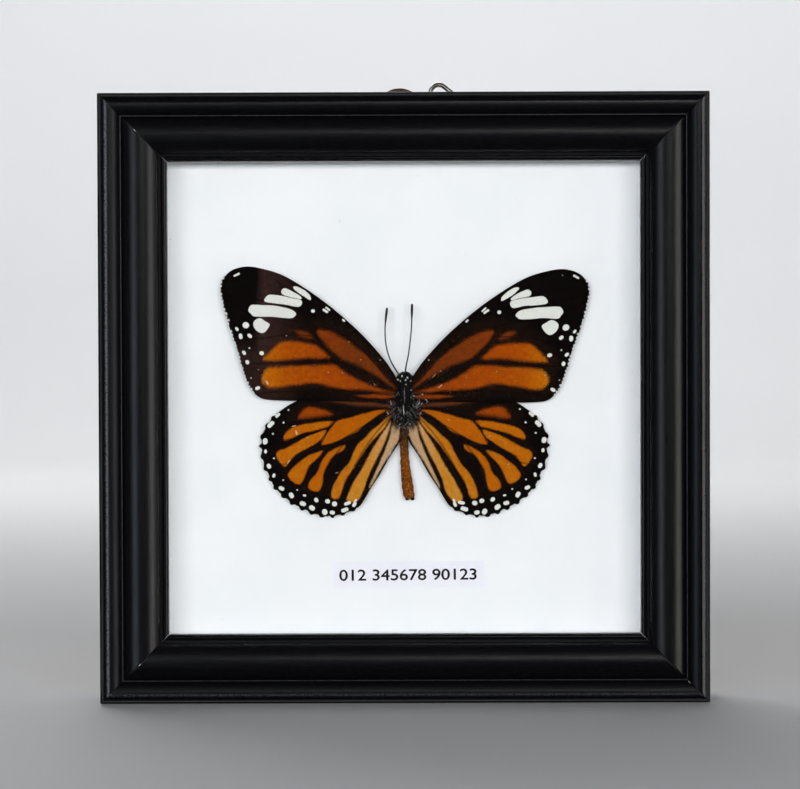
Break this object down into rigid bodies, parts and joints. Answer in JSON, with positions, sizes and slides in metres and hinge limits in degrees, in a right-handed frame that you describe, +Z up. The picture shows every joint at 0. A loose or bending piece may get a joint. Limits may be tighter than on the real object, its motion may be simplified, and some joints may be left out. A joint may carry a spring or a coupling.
{
  "type": "framed butterfly specimen",
  "caption": "Square black mitred frame with a glass front that shows a spread orange and black butterfly and a small label on a white panel, with a swivelling ring hanger behind.",
  "frame": {"origin": "middle of the frame's flat underside, half way through its depth", "axes": "+X to the viewer's right, +Z up, +Y away from the viewer towards the wall"},
  "size_m": [0.127, 0.0227, 0.1305],
  "materials": {
    "moulding": "satin black paint",
    "glass": "clear picture glass",
    "panel": "matt cool white",
    "spacer": "matt white",
    "back_board": "brown hardboard",
    "label": "matt printed paper",
    "plated_steel": "nickel plated",
    "point_steel": "dull cut steel",
    "forewing": "scaled wing, burnt orange with black veins and white spots",
    "hindwing": "scaled wing, yellow orange with black veins and white spots",
    "dark_body": "black, with grey hairs and white dots",
    "abdomen": "orange brown, finely scaled",
    "antenna": "black, dry horn"
  },
  "bodies": {
    "frame": {"rail_top": "moulding", "rail_right": "moulding", "rail_bottom": "moulding", "rail_left": "moulding", "glass_pane": "glass", "spacer_top": "spacer", "spacer_right": "spacer", "spacer_bottom": "spacer", "spacer_left": "spacer", "mounting_panel": "panel", "back_board": "back_board", "point_top": "point_steel", "point_right": "point_steel", "point_bottom": "point_steel", "point_left": "point_steel", "label": "label", "hanger_screw": "plated_steel", "forewing_left": "forewing", "forewing_right": "forewing", "hindwing_left": "hindwing", "hindwing_right": "hindwing", "thorax": "dark_body", "head": "dark_body", "abdomen": "abdomen", "antenna_left": "antenna", "antenna_right": "antenna"},
    "strap": {"hanger_strap": "plated_steel"},
    "ring": {"hanger_ring": "plated_steel"}
  },
  "joints": [
    {"name": "strap_swivel", "type": "hinge", "parent": "frame", "child": "strap", "pos_m": [-0.0008, 0.0106, 0.124], "axis": [0, -1, 0], "continuous": true},
    {"name": "ring_hinge", "type": "hinge", "parent": "strap", "child": "ring", "pos_m": [0.0058, 0.0112, 0.124], "axis": [0, 0, 1], "range_deg": [0, 150]}
  ]
}
